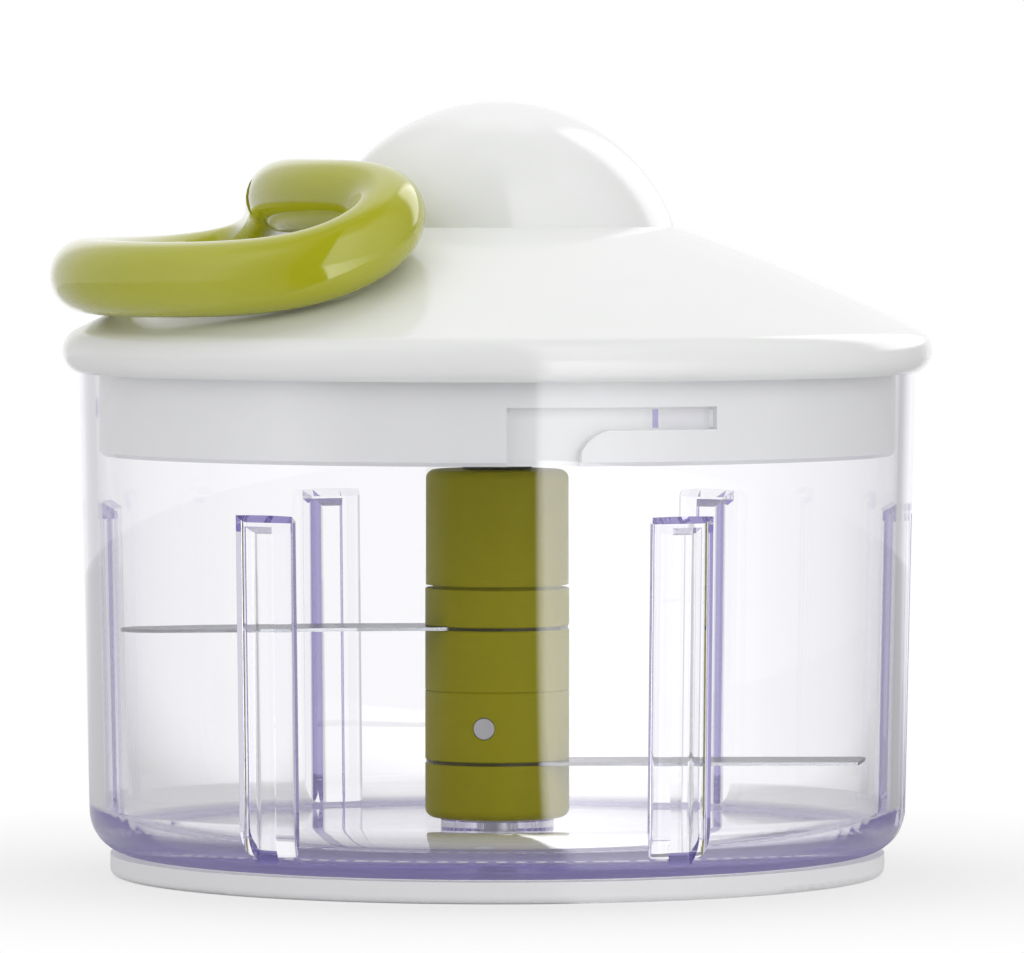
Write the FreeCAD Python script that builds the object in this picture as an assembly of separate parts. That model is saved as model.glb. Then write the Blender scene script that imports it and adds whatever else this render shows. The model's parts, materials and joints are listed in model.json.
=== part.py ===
import FreeCAD, Part
import math
import os

# Pull-cord food chopper. Millimetres, +Z up. The origin is on the axis of the bowl at the plane
# that the foot ring stands on. -Y is the front; the handle is pulled along -X.
# Angles of ribs, lugs and the cross pin are counted from the front towards +X.

V = FreeCAD.Vector
UP = V(0, 0, 1)
PULL = V(-1, 0, 0)

# ---------------------------------------------------------------- driving sizes
# bowl
bowl_rim_radius = 62.5
bowl_taper = 1.6              # the outside narrows by this from rim to foot
bowl_height = 77.7            # rim above the table
bowl_wall = 2.2
bowl_floor = 3.2
bowl_corner_radius = 6.5
boss_radius = 8.5
boss_height = 1.8             # above the bowl's floor
rib_count = 6
rib_turn = 26.3
rib_width = 9.8               # at the wall
rib_narrowing = 0.6           # on each side, from the wall to the face of the rib
rib_edge_radius = 1.0
rib_depth = 2.2
rib_drop = 22.0               # top of the ribs below the rim
rib_top_fall = 1.1            # the top of a rib slopes down by this to its face
flute_width = 4.8             # hollow on the outside of the wall behind each rib
flute_narrowing = 0.6
flute_edge_radius = 0.7
flute_depth = 1.9
flute_drop = 1.6              # top of the flute below the top of its rib
flute_top_fall = 1.1
lug_count = 3
lug_turn = 26.5
lug_width = 8.6
lug_height = 2.7
lug_drop = 7.9                # middle of the lugs below the rim

# foot ring
foot_height = 3.3
foot_inset = 3.1              # outer edge inside the bowl's side
foot_width = 7.0
foot_key_width = 2.0
foot_key_height = 1.3

# blade unit
hub_radius = 10.8
base_height = 8.2
base_floor = 2.0
lower_spacer_height = 10.4
middle_spacer_height = 9.2
collar_height = 5.6
sleeve_drop = 2.4              # top of the sleeve below the skirt's lower edge
sleeve_radius = 10.7
seam_chamfer = 0.15
sleeve_step = 0.5             # groove between the sleeve and the collar
hub_corner_radius = 1.4
core_radius = 4.0
core_flat = 3.3               # half the width across the flats of the core
stud_radius = 5.2
stud_plain_height = 5.6       # round neck between the sleeve and the drive lobes
lobe_height = 10.0
lobe_core_radius = 3.7
lobe_angle = 30.0
blade_thickness = 0.5
blade_bevel = 1.6
lower_blade_front = 8.8       # its edges from the hub's axis
lower_blade_back = 3.8
lower_blade_slant = 2.2       # cut off the front corner of the tip
upper_blade_sweep = 14.2      # its tip in front of the hub's axis
cross_pin_radius = 1.7
cross_pin_rise = 5.1          # above the lower blade
cross_pin_turn = -10.7
pivot_radius = 2.0
pivot_reach = 11.3            # above the boss
pivot_depth = 4.0             # pressed into the boss

# lid
lid_wall = 2.2
roll_radius = 3.5
roll_rise = 0.7               # centre of the rolled rim above the bowl's rim
roll_start = 68.0             # where the cone meets the rolled rim, degrees
cone_height = 15.3
cone_bulge = 0.7
dome_radius = 28.1
dome_crease_angle = 19.64     # where the cone meets the dome, seen from the dome's centre
skirt_depth = 14.7            # below the bowl's rim
skirt_thickness = 3.0
cover_floor_rise = 7.7        # floor of the cover above the skirt's lower edge
cover_floor_thickness = 2.0
groove_depth = 1.9
twist_angle = 20.0
screw_count = 3
screw_turn = 30.0
screw_circle_radius = 40.0
screw_boss_radius = 3.4
screw_radius = 1.2
screw_length = 9.0
screw_head_radius = 2.6
screw_head_height = 1.6

# reel, spring and shaft
socket_wall = 2.6
socket_drop = 5.6             # the socket's mouth below the floor of the cover
rib_angle = 30.0
rib_inner_radius = 4.0
barrel_wall = 1.5
barrel_height = 16.0
web_thickness = 1.6
groove_height = 4.6
flange_stand = 1.2            # flange beyond the wound cord
flange_thickness = 1.3
arbor_wall = 2.0
bush_wall = 1.45
bush_flange_width = 2.2
bush_flange_thickness = 0.8
clip_thickness = 0.8
clip_width = 2.1
clip_groove_depth = 0.5
clip_opening = 50.0
clip_step = 0.9               # clip below the bush flange
spring_turns = 8.0
spring_strip = 0.4
spring_margin = 1.5           # above and below the spring in its barrel
spring_cover_thickness = 1.0
axle_radius = 2.5
axle_depth = 5.4              # into the reel
axle_cover = 4.2              # top of the dome over the axle
axle_boss_radius = 5.0
washer_thickness = 0.7
washer_radius = 4.8

# cord, eyelet and handle
cord_radius = 1.0
cord_layers = 2
cord_turns = 2
cord_bend_radius = 3.0
eyelet_radius = 2.6
eyelet_bore = 1.4
eyelet_stand = 0.4            # outer end above the dome
eyelet_inset = 0.6            # inner end inside the dome's wall
handle_tube_radius = 5.5
handle_bore = 1.3
knot_radius = 2.1
knot_pocket_radius = 2.7
knot_pocket_depth = 4.2
handle_level = 11.7           # centre line of the handle's outer part above the bowl's rim
handle_overhang = 3.0         # the same line inside the lid's outer edge

handle_step = 0.1

# Corners of the handle's centre line: swing about the lid's axis from the pull line towards the
# front in degrees, place between the dome (0) and the lid's edge (1), lift off the lid in steps.
handle_corners = [
    (64.2, 0.10, 9), (39.6, 0.02, 3), (11.1, 0.00, 3), (-20.6, 0.09, 3), (-40.0, 0.36, 3),
    (-49.0, 0.80, 3), (-39.8, 1.12, 1), (-18.3, 1.05, 2), (7.4, 1.01, 3), (27.6, 1.09, 1),
    (46.2, 1.00, 0), (62.0, 0.84, 0), (70.3, 0.53, 9)]

# clearances
rim_gap = 0.3                 # lid over the bowl's rim, radial
seat_gap = 0.3                # lid above the bowl's rim
skirt_gap = 0.7               # skirt inside the bowl, radial
lug_gap = 0.3
hub_gap = 0.2                 # blade unit above the boss
lower_blade_gap = 1.2         # tip inside the ribs
upper_blade_gap = 1.6
fit = 0.05                    # running and assembly fits, radial
end_gap = 0.4
socket_gap = 0.3
drum_gap = 0.4
reel_gap = 1.54               # reel inside the dome
dome_gap = 0.35               # handle beside the dome
handle_gap = 0.45             # handle above the cone
tip_gap = 0.02                # self-tapping screws in their bosses
touch_gap = 0.1

# ---------------------------------------------------------------- levels that follow
floor_top = foot_height + bowl_floor
boss_top = floor_top + boss_height
skirt_bottom = bowl_height - skirt_depth
cover_floor_bottom = skirt_bottom + cover_floor_rise
cover_floor_top = cover_floor_bottom + cover_floor_thickness
lug_z = bowl_height - lug_drop

base_bottom = boss_top + hub_gap
lower_blade_z = base_bottom + base_height
lower_spacer_z = lower_blade_z + blade_thickness
middle_spacer_z = lower_spacer_z + lower_spacer_height
upper_blade_z = middle_spacer_z + middle_spacer_height
collar_z = upper_blade_z + blade_thickness
sleeve_z = collar_z + collar_height
sleeve_top = skirt_bottom - sleeve_drop
lobe_bottom = sleeve_top + stud_plain_height
lobe_top = lobe_bottom + lobe_height

lid_radius = bowl_rim_radius + rim_gap + lid_wall
roll_centre = (lid_radius - roll_radius, bowl_height + roll_rise)
bowl_inner_rim = bowl_rim_radius - bowl_wall
skirt_radius = bowl_inner_rim - skirt_gap


def on_roll(angle):
    """Point of the rolled rim at an angle from level."""
    turn = math.radians(angle)
    return (roll_centre[0] + roll_radius * math.cos(turn),
            roll_centre[1] + roll_radius * math.sin(turn))


cone_foot = on_roll(roll_start)
crease_turn = math.radians(dome_crease_angle)
crease = (dome_radius * math.cos(crease_turn), cone_foot[1] + cone_height)
dome_centre = crease[1] - dome_radius * math.sin(crease_turn)
inner_dome = dome_radius - lid_wall
cone_slope = math.atan2(cone_height, cone_foot[0] - crease[0])
wall_drop = lid_wall / math.cos(cone_slope)


def cone_height_at(radius):
    """Height of the lid's cone over the table, a shallow parabola in place of its arc."""
    share = (cone_foot[0] - radius) / (cone_foot[0] - crease[0])
    return cone_foot[1] + share * cone_height + 4 * cone_bulge * share * (1 - share)


def blade_reach(height, gap):
    """Reach of a blade whose tip clears the ribs of the bowl."""
    return bowl_side(height) - bowl_wall - rib_depth - gap


def dome_reach(radius, height):
    """Distance from the axis to a sphere about the dome's centre, at a height."""
    return math.sqrt(radius ** 2 - (height - dome_centre) ** 2)


def bowl_side(height):
    """Outer radius of the bowl's side."""
    return bowl_rim_radius - bowl_taper * (bowl_height - height) / bowl_height


# ---------------------------------------------------------------- shape helpers
def outline(start, *legs):
    """Closed face in the XZ plane. A leg is (r, z), or (r, z, r, z) for an arc past a point."""
    edges = []
    here = V(start[0], 0, start[1])
    for leg in legs + (start,):
        there = V(leg[-2], 0, leg[-1])
        if len(leg) == 4:
            edges.append(Part.Arc(here, V(leg[0], 0, leg[1]), there).toShape())
        elif here.distanceToPoint(there) > 1e-6:
            edges.append(Part.LineSegment(here, there).toShape())
        here = there
    return Part.Face(Part.Wire(edges))


def turned(start, *legs):
    """Body of revolution about Z."""
    return outline(start, *legs).revolve(V(0, 0, 0), UP, 360)


def ring(inner, outer, bottom, top):
    """Upright tube, or a disc where inner is 0."""
    body = Part.makeCylinder(outer, top - bottom, V(0, 0, bottom))
    if inner > 0:
        body = body.cut(Part.makeCylinder(inner, top - bottom, V(0, 0, bottom)))
    return body


def sector(inner, outer, bottom, top, middle, width):
    """Part of an upright tube, width degrees wide about an angle counted from the front."""
    face = outline((inner, bottom), (outer, bottom), (outer, top), (inner, top))
    face.rotate(V(0, 0, 0), UP, middle - width / 2 - 90)
    return face.revolve(V(0, 0, 0), UP, width)


def around(body, middle):
    """Turn a body that was drawn at the front to an angle counted from the front."""
    copy = body.copy()
    copy.rotate(V(0, 0, 0), UP, middle)
    return copy


def box(x0, x1, y0, y1, z0, z1):
    return Part.makeBox(x1 - x0, y1 - y0, z1 - z0, V(x0, y0, z0))


def chamfer_rings(body, size, radius, levels):
    """Chamfer the outer round edges of a turned body at given levels."""
    edges = []
    for edge in body.Edges:
        if not isinstance(edge.Curve, Part.Circle):
            continue
        at_level = any(abs(edge.Curve.Center.z - z) < 1e-4 for z in levels)
        if at_level and abs(edge.Curve.Radius - radius) < 1e-4:
            edges.append(edge)
    return body.makeChamfer(size, edges)


def save(name, shape):
    """Write one node."""
    bad = [s for s in shape.Solids if not s.isValid() or s.Volume <= 0]
    if not shape.Solids or bad:
        raise ValueError(name + " is not a sound solid")
    print(f"{name:22s} solids {len(shape.Solids)}  volume {shape.Volume:9.1f}")
    shape.exportStep("parts/" + name + ".step")


os.makedirs("parts", exist_ok=True)


# ---------------------------------------------------------------- bowl and foot
def bowl():
    corner = bowl_corner_radius
    inner_corner = corner - bowl_wall
    outer_foot = bowl_side(foot_height + corner)
    centre_r = outer_foot - corner
    outer_z = foot_height + corner
    inner_z = floor_top + inner_corner
    inner_foot = bowl_side(inner_z) - bowl_wall
    slant = math.sqrt(0.5)
    outer_mid = (centre_r + corner * slant, outer_z - corner * slant)
    inner_mid = (inner_foot - inner_corner * (1 - slant), inner_z - inner_corner * slant)
    lip = bowl_wall * 0.3
    body = turned(
        (0, foot_height), (centre_r, foot_height), (*outer_mid, outer_foot, outer_z),
        (bowl_rim_radius, bowl_height - lip),
        (bowl_rim_radius - lip * (1 - slant), bowl_height - lip * (1 - slant),
         bowl_rim_radius - lip, bowl_height),
        (bowl_inner_rim + lip, bowl_height),
        (bowl_inner_rim + lip * (1 - slant), bowl_height - lip * (1 - slant),
         bowl_inner_rim, bowl_height - lip),
        (inner_foot, inner_z), (*inner_mid, inner_foot - inner_corner, floor_top), (0, floor_top))
    solid_inside = turned(
        (0, foot_height + bowl_floor / 2), (centre_r, foot_height + bowl_floor / 2),
        (outer_foot - bowl_wall / 2, outer_z), (bowl_rim_radius - bowl_wall / 2, bowl_height),
        (0, bowl_height))
    body = body.fuse(ribs().common(solid_inside)).cut(flutes())
    body = body.fuse(lugs())
    boss = ring(0, boss_radius, floor_top - bowl_floor / 2, boss_top)
    body = body.fuse(chamfer_rings(boss, seam_chamfer, boss_radius, [boss_top]))
    pin_hole = ring(0, pivot_radius, boss_top - pivot_depth, boss_top)
    body = body.cut(pin_hole).cut(foot_key(0))
    return body.removeSplitter()


def wall_bar(surface_gap, depth, width, narrowing, edge_radius, top, top_fall):
    """Bar at the front that follows the slope of the side wall.

    It leaves the surface that lies surface_gap inside the bowl's outside, narrows towards its
    face, depth further in, and its top slopes down by top_fall between the two.
    """
    reach = bowl_wall / 2         # the bar also goes this far outwards from the surface
    spread = narrowing * reach / depth
    height = top + 2 * top_fall * reach / depth
    outer = surface_gap - bowl_side(0) - reach
    inner = surface_gap - bowl_side(0) + depth
    half_outer = width / 2 + spread
    half_inner = width / 2 - narrowing
    corners = [V(-half_outer, outer, 0), V(half_outer, outer, 0),
               V(half_inner, inner, 0), V(-half_inner, inner, 0)]
    foot = Part.Face(Part.makePolygon(corners + corners[:1]))
    bar = foot.extrude(V(0, bowl_side(0) - bowl_side(height), height))
    face_edges = []
    for edge in bar.Edges:
        upright = edge.Length > height - 1e-4
        if upright and abs(edge.Vertexes[0].X) < width / 2 - narrowing / 2:
            face_edges.append(edge)
    bar = bar.makeFillet(edge_radius, face_edges)
    surface = surface_gap - bowl_side(top)
    profile = [V(-width, surface - 2 * reach, 0), V(-width, surface - 2 * reach, height),
               V(-width, surface + 2 * depth, top - 2 * top_fall),
               V(-width, 0, top - 2 * top_fall), V(-width, 0, 0)]
    slope = Part.Face(Part.makePolygon(profile + profile[:1])).extrude(V(2 * width, 0, 0))
    return bar.common(slope)


def at_each_rib(bar):
    return Part.makeCompound([around(bar, rib_turn + k * 360 / rib_count) for k in range(rib_count)])


def ribs():
    """Upright ribs on the inside of the side wall."""
    return at_each_rib(wall_bar(
        bowl_wall, rib_depth, rib_width, rib_narrowing, rib_edge_radius,
        bowl_height - rib_drop, rib_top_fall))


def flutes():
    """The hollow on the outside of the wall behind each rib."""
    return at_each_rib(wall_bar(
        0, flute_depth, flute_width, flute_narrowing, flute_edge_radius,
        bowl_height - rib_drop - flute_drop, flute_top_fall))


def lug_tip_radius():
    return skirt_radius - groove_depth + lug_gap


def lugs():
    """Bayonet lugs on the inside of the bowl's rim."""
    inner = lug_tip_radius()
    width = math.degrees(lug_width / skirt_radius)
    low = lug_z - lug_height / 2
    high = lug_z + lug_height / 2
    outer = bowl_inner_rim + bowl_wall / 2
    return Part.makeCompound([
        sector(inner, outer, low, high, lug_turn + k * 360 / lug_count, width)
        for k in range(lug_count)])


def foot_radius():
    return bowl_side(foot_height + bowl_corner_radius) - foot_inset


def foot_key(clearance):
    """The rib of the foot ring that sits in a groove of the bowl."""
    middle = foot_radius() - foot_width * 0.6
    half = foot_key_width / 2
    return ring(middle - half, middle + half, foot_height, foot_height + foot_key_height - clearance)


def foot_ring():
    outer = foot_radius()
    inner = outer - foot_width
    edge = foot_height * 0.35
    slant = 1 - math.sqrt(0.5)
    body = turned(
        (inner, 0), (outer - edge, 0), (outer - edge * slant, edge * slant, outer, edge),
        (outer, foot_height), (inner, foot_height))
    return body.fuse(foot_key(touch_gap)).removeSplitter()


def pivot_pin():
    bottom = boss_top - pivot_depth
    top = boss_top + pivot_reach
    bevel = pivot_radius * 0.4
    return turned(
        (0, bottom), (pivot_radius, bottom), (pivot_radius, top - bevel),
        (pivot_radius - bevel, top), (0, top))


# ---------------------------------------------------------------- blade unit
def keyed(radius, flat, bottom, top):
    """Round bar with two flats."""
    bar = ring(0, radius, bottom, top)
    return bar.common(box(-radius, radius, -flat, flat, bottom, top))


def segment(radius, bottom, top, bevelled):
    """One segment of the hub, with the keyed hole for the core."""
    body = ring(0, radius, bottom, top)
    body = chamfer_rings(body, seam_chamfer, radius, bevelled)
    return body.cut(keyed(core_radius + fit, core_flat + fit, bottom, top))


def hub_base():
    top = lower_blade_z
    radius = hub_radius
    corner = hub_corner_radius
    slant = corner * (1 - math.sqrt(0.5))
    body = turned(
        (0, base_bottom), (radius - corner, base_bottom),
        (radius - slant, base_bottom + slant, radius, base_bottom + corner),
        (radius, top), (0, top))
    body = chamfer_rings(body, seam_chamfer, radius, [top])
    seat = base_bottom + base_floor
    body = body.cut(keyed(core_radius + fit, core_flat + fit, seat, top))
    return body.cut(ring(0, pivot_radius + fit, base_bottom, seat))


def cross_pin_hole(radius):
    reach = hub_radius + 1
    z = lower_spacer_z + cross_pin_rise
    hole = Part.makeCylinder(radius, 2 * reach, V(0, -reach, z), V(0, 1, 0))
    return around(hole, cross_pin_turn)


def hub_lower_spacer():
    body = segment(hub_radius, lower_spacer_z, middle_spacer_z, [lower_spacer_z, middle_spacer_z])
    return body.cut(cross_pin_hole(cross_pin_radius))


def hub_middle_spacer():
    return segment(hub_radius, middle_spacer_z, upper_blade_z, [middle_spacer_z, upper_blade_z])


def hub_collar():
    return segment(hub_radius, collar_z, sleeve_z, [collar_z, sleeve_z])


def hub_sleeve():
    """Top segment: a step at its lower end leaves the dark line over the collar."""
    radius = sleeve_radius
    corner = hub_corner_radius
    slant = corner * (1 - math.sqrt(0.5))
    groove = radius - 2 * sleeve_step
    body = turned(
        (0, sleeve_z), (groove, sleeve_z), (groove, sleeve_z + sleeve_step),
        (radius, sleeve_z + sleeve_step), (radius, sleeve_top - corner),
        (radius - slant, sleeve_top - slant, radius - corner, sleeve_top), (0, sleeve_top))
    return body.cut(keyed(core_radius + fit, core_flat + fit, sleeve_z, sleeve_top))


def drive_core():
    """Keyed core through the hub, with the neck and the two drive lobes on top."""
    bottom = base_bottom + base_floor
    body = keyed(core_radius, core_flat, bottom, sleeve_top)
    body = body.fuse(ring(0, stud_radius, sleeve_top, lobe_bottom))
    body = body.fuse(ring(0, lobe_core_radius, lobe_bottom, lobe_top))
    for turn in (90, 270):
        lobe = sector(lobe_core_radius * 0.8, stud_radius, lobe_bottom, lobe_top, turn, lobe_angle)
        body = body.fuse(lobe)
    taper = stud_radius - lobe_core_radius
    nose = turned(
        (0, lobe_bottom), (stud_radius + 1, lobe_bottom), (stud_radius + 1, lobe_top - taper - 1),
        (stud_radius - taper, lobe_top), (0, lobe_top))
    top_part = ring(0, stud_radius + 1, lobe_bottom, lobe_top)
    body = body.cut(top_part.cut(nose))
    pivot_top = boss_top + pivot_reach + end_gap
    body = body.cut(ring(0, pivot_radius + fit, bottom, pivot_top))
    body = body.cut(cross_pin_hole(cross_pin_radius))
    return body.removeSplitter()


def cross_pin():
    """Dowel pin, a little inside the surface of the hub at both ends."""
    reach = hub_radius - seam_chamfer
    z = lower_spacer_z + cross_pin_rise
    pin = Part.makeCylinder(cross_pin_radius, 2 * reach, V(0, -reach, z), V(0, 1, 0))
    pin = pin.makeChamfer(seam_chamfer, [e for e in pin.Edges if isinstance(e.Curve, Part.Circle)])
    return around(pin, cross_pin_turn)


def blade(points, edge_from, edge_to, bottom):
    """Flat blade from plan points, ground on its cutting edge, with the keyed hub hole."""
    corners = [V(x, y, bottom) for x, y in points]
    plate = Part.Face(Part.makePolygon(corners + corners[:1])).extrude(UP * blade_thickness)
    run = edge_to - edge_from
    length = run.Length
    side = UP.cross(run).normalize()
    wedge = Part.Face(Part.makePolygon([
        V(0, 0, 0), side * blade_bevel, UP * blade_thickness * 0.85, V(0, 0, 0)]))
    wedge = wedge.extrude(run)
    wedge.translate(edge_from + V(0, 0, bottom))
    if length > 0:
        plate = plate.cut(wedge)
    disc = ring(0, hub_radius - seam_chamfer, bottom, bottom + blade_thickness)
    body = plate.fuse(disc)
    body = body.cut(keyed(core_radius + fit, core_flat + fit, bottom, bottom + blade_thickness))
    return body.removeSplitter()


def lower_blade():
    """Straight blade towards +X with a slanted tip."""
    near = -lower_blade_front
    far = lower_blade_back
    reach = blade_reach(lower_blade_z, lower_blade_gap)
    bevel = lower_blade_slant / 3
    points = [(0, near), (reach - lower_blade_slant, near), (reach, far - 2 * bevel),
              (reach - bevel, far), (0, far)]
    return blade(points, V(reach - bevel, far, 0), V(hub_radius, far, 0), lower_blade_z)


def upper_blade():
    """Swept blade towards -X with a rounded tip."""
    plan = [(0, 0.35), (0.45, 0.25), (0.79, -0.07), (0.965, -0.35), (1, -0.535), (0.998, -0.745),
            (0.955, -0.945), (0.9, -1), (0.64, -0.875), (0.375, -0.675), (0, -0.5)]
    reach = blade_reach(upper_blade_z, upper_blade_gap)
    points = [(-along * reach, across * upper_blade_sweep) for along, across in plan]
    edge_start, edge_end = points[9], points[8]
    return blade(points, V(*edge_start, 0), V(*edge_end, 0), upper_blade_z)


# ---------------------------------------------------------------- lid
def shell_outer(bottom):
    """Everything under the lid's outer surface, down to a level inside the rim."""
    rim_inner = bowl_rim_radius + rim_gap
    rim_angle = -math.degrees(math.acos((rim_inner - roll_centre[0]) / roll_radius))
    rim_low = on_roll(rim_angle)
    middle_radius = (cone_foot[0] + crease[0]) / 2
    cone_middle = (middle_radius, cone_height_at(middle_radius))
    dome_turn = math.atan2(crease[1] - dome_centre, crease[0]) / 2 + math.pi / 4
    dome_middle = (dome_radius * math.cos(dome_turn), dome_centre + dome_radius * math.sin(dome_turn))
    return turned(
        (0, bottom), (rim_inner, bottom), rim_low,
        (*on_roll((rim_angle + roll_start) / 2), *cone_foot), (*cone_middle, *crease),
        (*dome_middle, 0, dome_centre + dome_radius))


def ledge_radius():
    """Where the cover's flange meets the inside of the cone."""
    return bowl_rim_radius - 0.7


def ledge_z():
    return cone_height_at(ledge_radius()) - wall_drop


def shell_hollow():
    """The space inside the lid shell."""
    rim_inner = bowl_rim_radius + rim_gap
    low = roll_centre[1] - 2 * roll_radius
    middle_radius = (ledge_radius() + crease[0]) / 2
    meet_z = crease[1] - wall_drop
    meet_r = dome_reach(inner_dome, meet_z)
    dome_turn = math.atan2(meet_z - dome_centre, meet_r) / 2 + math.pi / 4
    dome_middle = (inner_dome * math.cos(dome_turn), dome_centre + inner_dome * math.sin(dome_turn))
    return turned(
        (0, low), (rim_inner, low), (rim_inner, ledge_z()), (ledge_radius(), ledge_z()),
        (middle_radius, cone_height_at(middle_radius) - wall_drop, meet_r, meet_z),
        (*dome_middle, 0, dome_centre + inner_dome))


def lid_shell():
    outer = shell_outer(roll_centre[1] - roll_radius)
    body = outer.cut(shell_hollow())
    top = dome_centre + dome_radius
    posts = [ring(0, axle_boss_radius, axle_boss_bottom, top)]
    for place in screw_places():
        post = Part.makeCylinder(screw_boss_radius, top - cover_floor_top, V(*place, cover_floor_top))
        posts.append(post)
    body = body.fuse(Part.makeCompound(posts).common(shell_outer(cover_floor_top)))
    for place in screw_places():
        depth = screw_length - cover_floor_thickness + end_gap
        body = body.cut(Part.makeCylinder(screw_radius + tip_gap, depth, V(*place, cover_floor_top)))
    body = body.cut(ring(0, axle_radius, axle_boss_bottom, axle_top))
    body = body.cut(along_pull(eyelet_radius, 0, -2 * dome_radius))
    return body.removeSplitter()


def screw_places():
    """Plan points of the cover screws."""
    places = []
    for k in range(screw_count):
        turn = math.radians(screw_turn + k * 360 / screw_count - 90)
        places.append((screw_circle_radius * math.cos(turn), screw_circle_radius * math.sin(turn)))
    return places


def lid_cover():
    """Lower cover: skirt with bayonet grooves, flange over the bowl's rim, floor and arbor."""
    inner = skirt_radius - skirt_thickness
    edge = skirt_thickness * 0.2
    flange_low = bowl_height + seat_gap
    flange_high = ledge_z()
    flange_radius_out = bowl_rim_radius
    body = turned(
        (arbor_inner, cover_floor_bottom), (inner, cover_floor_bottom),
        (inner, skirt_bottom + edge), (inner + edge, skirt_bottom),
        (skirt_radius - edge, skirt_bottom), (skirt_radius, skirt_bottom + edge),
        (skirt_radius, flange_low), (flange_radius_out, flange_low),
        (flange_radius_out, flange_high), (inner, flange_high), (inner, cover_floor_top),
        (arbor_inner + arbor_wall, cover_floor_top), (arbor_inner + arbor_wall, arbor_top),
        (arbor_inner, arbor_top))
    for k in range(lug_count):
        body = body.cut(around(bayonet_groove(), k * 360 / lug_count))
    for place in screw_places():
        body = body.cut(Part.makeCylinder(
            screw_radius + socket_gap, cover_floor_thickness, V(*place, cover_floor_bottom)))
    slot = box(arbor_inner - 1, arbor_inner + arbor_wall + 1, -spring_strip, spring_strip,
               spring_bottom - touch_gap, arbor_top + 1)
    return body.cut(slot)


def bayonet_groove():
    """Mouth at the skirt's edge, flared towards the lock, and the run that ends at the lug."""
    inner = skirt_radius - groove_depth
    outer = skirt_radius + 1
    lug_wide = math.degrees(lug_width / skirt_radius)
    play = 1.0
    low = lug_z - lug_height / 2 - lug_gap
    high = lug_z + lug_height / 2 + lug_gap
    mouth_turn = lug_turn - twist_angle
    run_start = mouth_turn - lug_wide / 2 - play
    run_end = lug_turn + lug_wide / 2 + play
    run = sector(inner, outer, low, high, (run_start + run_end) / 2, run_end - run_start)
    mouth = sector(inner, outer, skirt_bottom - 1, high, mouth_turn, lug_wide + 2 * play)
    flare_turn = mouth_turn + lug_wide / 2 + play - 0.5
    flare = low - skirt_bottom
    corner = Part.Face(Part.Wire([
        Part.makeLine(V(0, 0, skirt_bottom), V(0, 0, low + touch_gap)),
        Part.makeLine(V(0, 0, low + touch_gap), V(flare, 0, low + touch_gap)),
        Part.Arc(V(flare, 0, low + touch_gap), V(flare * 0.32, 0, low - flare * 0.3),
                 V(0, 0, skirt_bottom)).toShape()]))
    corner.translate(V(0, -inner, 0))
    flared = around(corner.extrude(V(0, inner - outer, 0)), flare_turn)
    return run.fuse(mouth).fuse(flared)


def cover_screws():
    """Pan-head self-tapping screws with a cross recess, driven up into the lid's posts."""
    head_low = cover_floor_bottom - screw_head_height
    crown = screw_head_height * 0.35
    screw = turned(
        (0, head_low), (screw_head_radius * 0.6, head_low),
        (screw_head_radius * 0.9, head_low + crown * 0.5,
         screw_head_radius, cover_floor_bottom - screw_head_height * 0.4),
        (screw_head_radius, cover_floor_bottom), (screw_radius, cover_floor_bottom),
        (screw_radius, cover_floor_bottom + screw_length - screw_radius),
        (screw_radius * 0.3, cover_floor_bottom + screw_length),
        (0, cover_floor_bottom + screw_length))
    half = screw_head_radius * 0.5
    slim = screw_radius * 0.25
    deep = screw_head_height * 0.5
    screw = screw.cut(box(-half, half, -slim, slim, head_low, head_low + deep))
    screw = screw.cut(box(-slim, slim, -half, half, head_low, head_low + deep))
    bodies = []
    for place in screw_places():
        copy = screw.copy()
        copy.translate(V(*place, 0))
        bodies.append(copy)
    return Part.makeCompound(bodies)


# ---------------------------------------------------------------- handle
def handle_points():
    """Corners of the handle's centre line, resting on the cone and level past its foot."""
    stand = handle_tube_radius / math.cos(cone_slope) + handle_gap
    near = crease[0] + dome_gap + handle_tube_radius
    far = lid_radius - handle_overhang
    points = []
    for swing, place, lift in handle_corners:
        radius = near + place * (far - near)
        turn = math.radians(swing)
        on_cone = cone_height_at(min(radius, cone_foot[0])) + stand
        height = max(on_cone, bowl_height + handle_level) + lift * handle_step
        points.append(V(-radius * math.cos(turn), -radius * math.sin(turn), height))
    return points


def rounded_loop(points, share):
    """Straight runs and tangent arcs through a closed loop of corners: (start, arc middle, end)."""
    count = len(points)
    arcs = []
    for k in range(count):
        before = (points[k - 1] - points[k])
        after = (points[(k + 1) % count] - points[k])
        reach = share * min(before.Length, after.Length)
        before.normalize()
        after.normalize()
        half_turn = before.getAngle(after) / 2
        radius = reach * math.tan(half_turn)
        inward = (before + after).normalize()
        middle = points[k] + inward * (radius / math.sin(half_turn) - radius)
        arcs.append((points[k] + before * reach, middle, points[k] + after * reach))
    return arcs


def tube_along(arcs, radius):
    """Round bar along a rounded loop."""
    bodies = []
    for k, (start, middle, end) in enumerate(arcs):
        arc = Part.Arc(start, middle, end)
        circle = arc.toShape().Curve
        profile = Part.Face(Part.Wire(Part.makeCircle(radius, start, arc.tangent(arc.FirstParameter)[0])))
        turn = math.degrees(arc.LastParameter - arc.FirstParameter)
        bodies.append(profile.revolve(circle.Center, circle.Axis, turn))
        following = arcs[(k + 1) % len(arcs)][0]
        bodies.append(Part.makeCylinder(radius, end.distanceToPoint(following), end, following - end))
    return bodies[0].multiFuse(bodies[1:]).removeSplitter()


corners = handle_points()
pull_share = corners[2].y / (corners[2].y - corners[3].y)
cord_point = corners[2] + (corners[3] - corners[2]) * pull_share
cord_z = cord_point.z
handle_back = cord_point.x - handle_tube_radius
knot_seat = handle_back + knot_pocket_depth


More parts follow.
